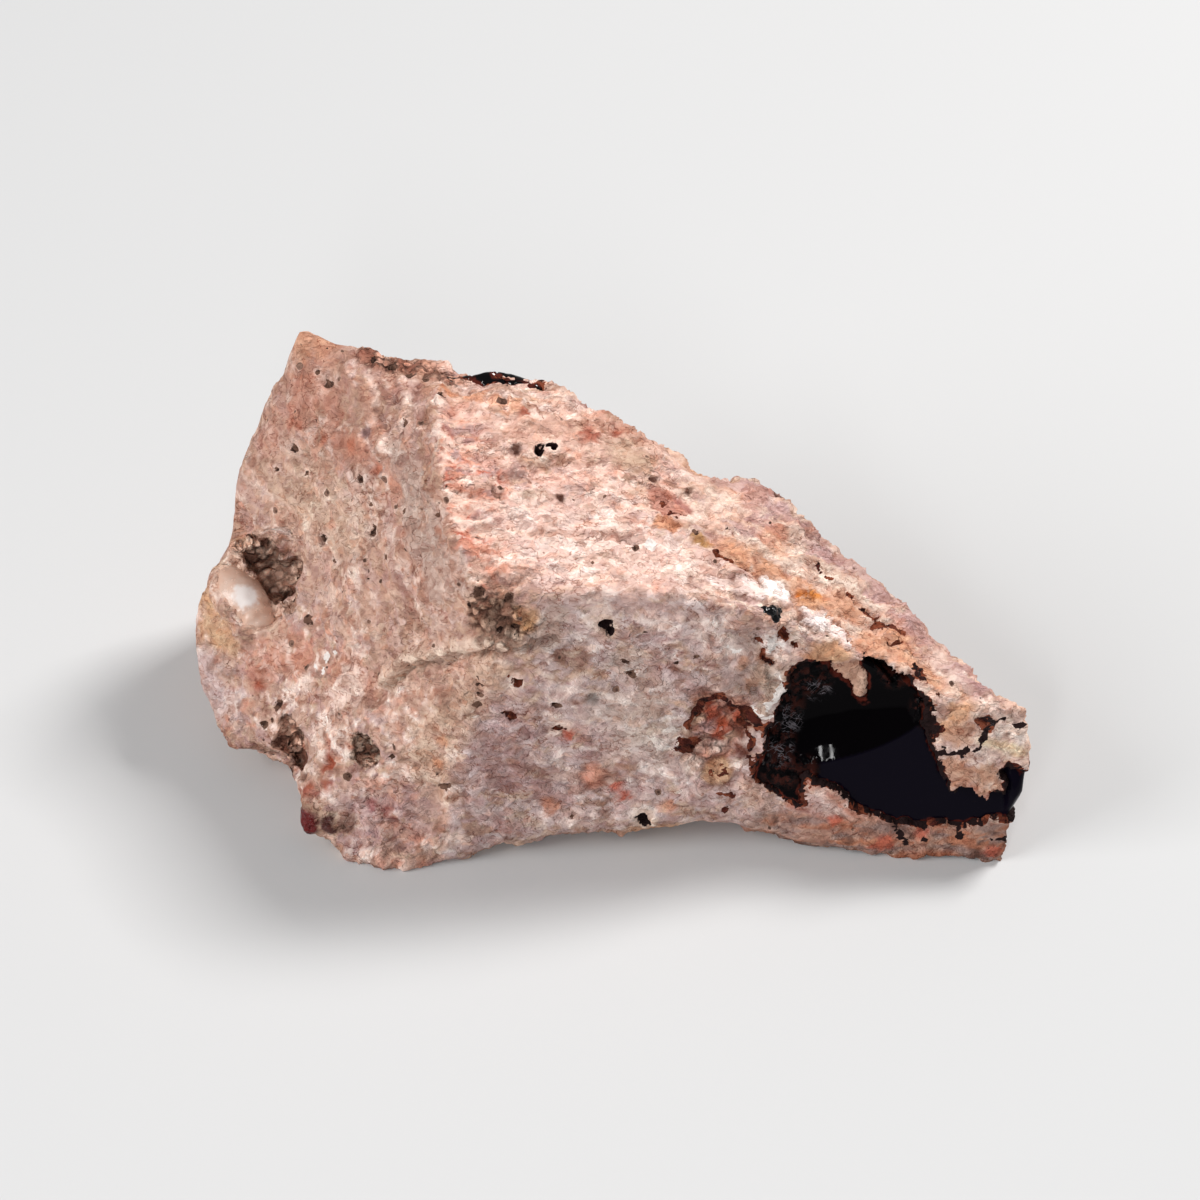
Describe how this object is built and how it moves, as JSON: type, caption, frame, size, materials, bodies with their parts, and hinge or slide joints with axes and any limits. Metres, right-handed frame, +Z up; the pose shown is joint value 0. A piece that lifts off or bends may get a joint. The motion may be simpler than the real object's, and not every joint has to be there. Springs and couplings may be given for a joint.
{
  "type": "rough fire opal",
  "caption": "Broken wedge of pale pink-tan rhyolite with a glossy black-red fire opal pocket at one end, a thin opal strip on its ridge and a small clear hyalite lens.",
  "frame": {"origin": "on the ground under the middle of the stone's box", "axes": "+X along the length, towards the end with the opal; +Y to the back; +Z up"},
  "size_m": [0.0672, 0.0346, 0.0315],
  "materials": {
    "rhyolite": "rough broken volcanic rock, pink to tan, with rust stains, pits and pale crusts",
    "fire_opal": "polished-looking shell-like break, almost black, dark red where it is thin",
    "hyalite": "clear glassy lens with a wet shine"
  },
  "bodies": {
    "root": {"rhyolite_matrix": "rhyolite", "fire_opal_seam": "fire_opal", "fire_opal_ridge_seam": "fire_opal", "hyalite_lens": "hyalite"}
  },
  "joints": []
}
